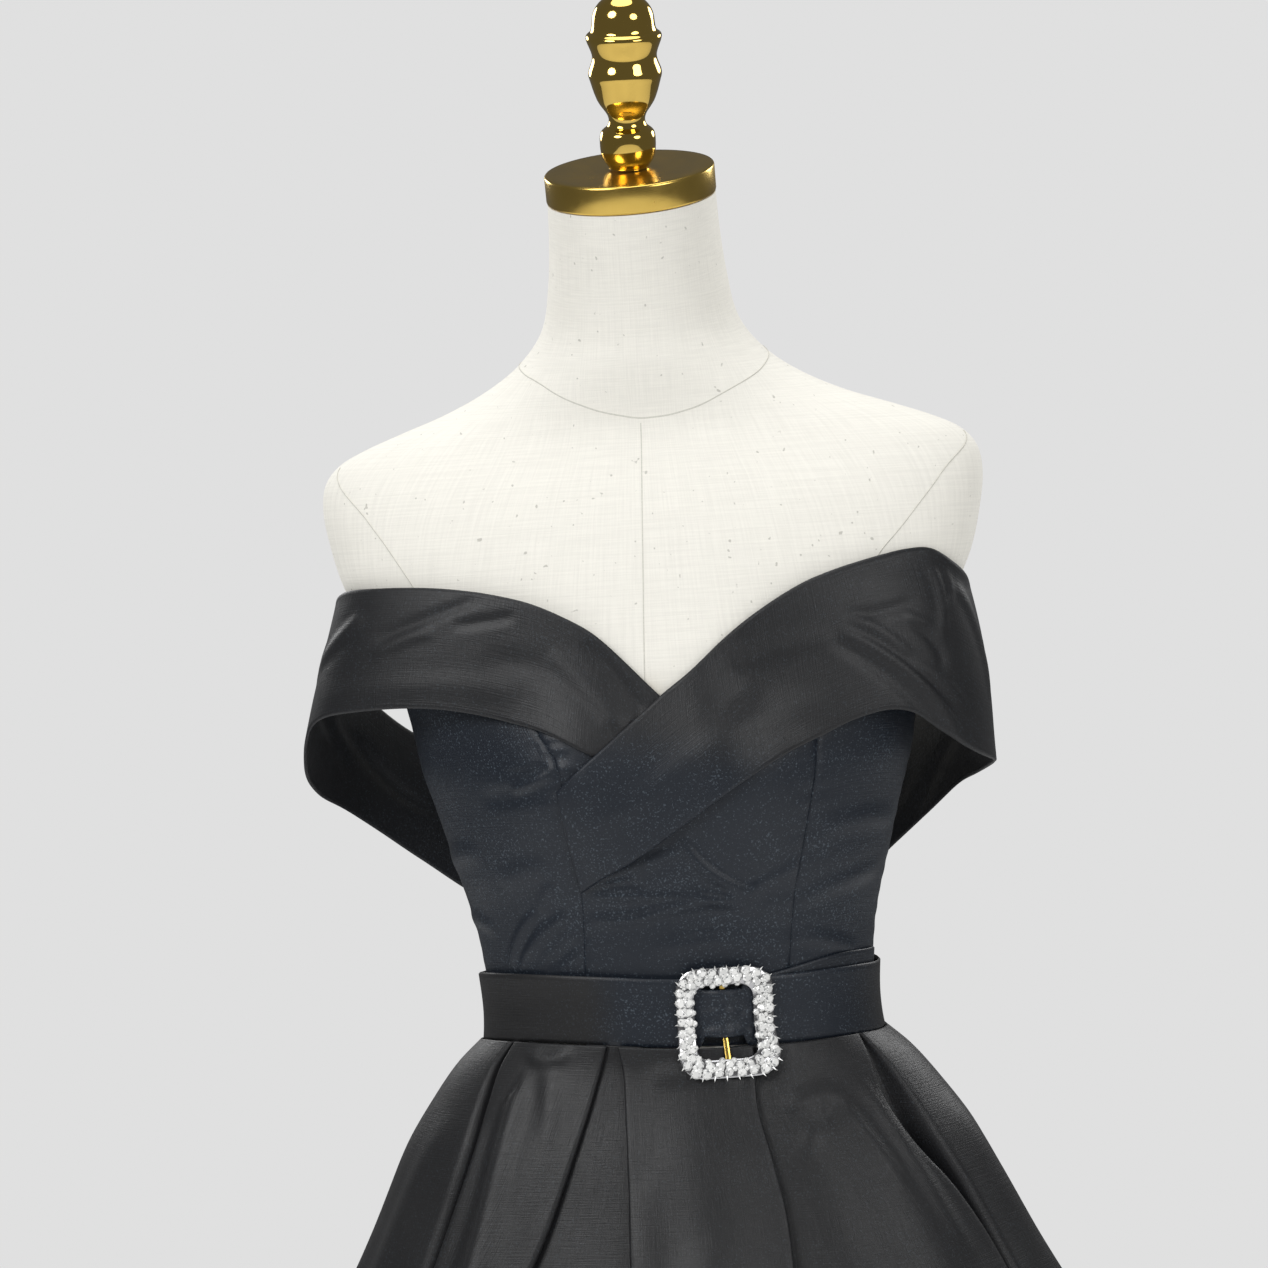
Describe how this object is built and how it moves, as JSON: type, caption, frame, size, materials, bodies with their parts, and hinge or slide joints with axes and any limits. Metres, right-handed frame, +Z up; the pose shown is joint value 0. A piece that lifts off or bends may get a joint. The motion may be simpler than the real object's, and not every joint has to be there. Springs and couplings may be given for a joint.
{
  "type": "off-shoulder dress on a limbless dress form",
  "caption": "Belted off-shoulder satin dress with crossed bands and a pleated full skirt, standing on a linen-covered limbless dress form with a pole and a round base.",
  "frame": {"origin": "middle of the round base's flat underside, on the floor", "axes": "+Z up along the pole, -Y out of the dress's front, +X to the wearer's left"},
  "size_m": [0.8334, 0.6558, 1.6372],
  "materials": {
    "satin": "black and navy shot satin with a soft sheen",
    "linen": "off-white plain-weave linen",
    "gold": "mirror-polished gold",
    "crystal": "clear faceted stones in bright metal prongs"
  },
  "bodies": {
    "root": {"form_torso": "linen", "form_neck_cap": "gold", "form_finial": "gold", "form_pole": "gold", "form_base": "gold", "bodice_front_centre": "satin", "bodice_front_side_right": "satin", "bodice_front_side_left": "satin", "bodice_back_right": "satin", "bodice_back_left": "satin", "band_right": "satin", "band_left": "satin", "belt": "satin", "belt_tail": "satin", "belt_buckle": "crystal", "belt_buckle_bar": "gold", "skirt_side_right": "satin", "skirt_front_centre": "satin", "skirt_front_left": "satin", "skirt_side_left": "satin", "skirt_back_right": "satin", "skirt_back_left": "satin"}
  },
  "joints": []
}
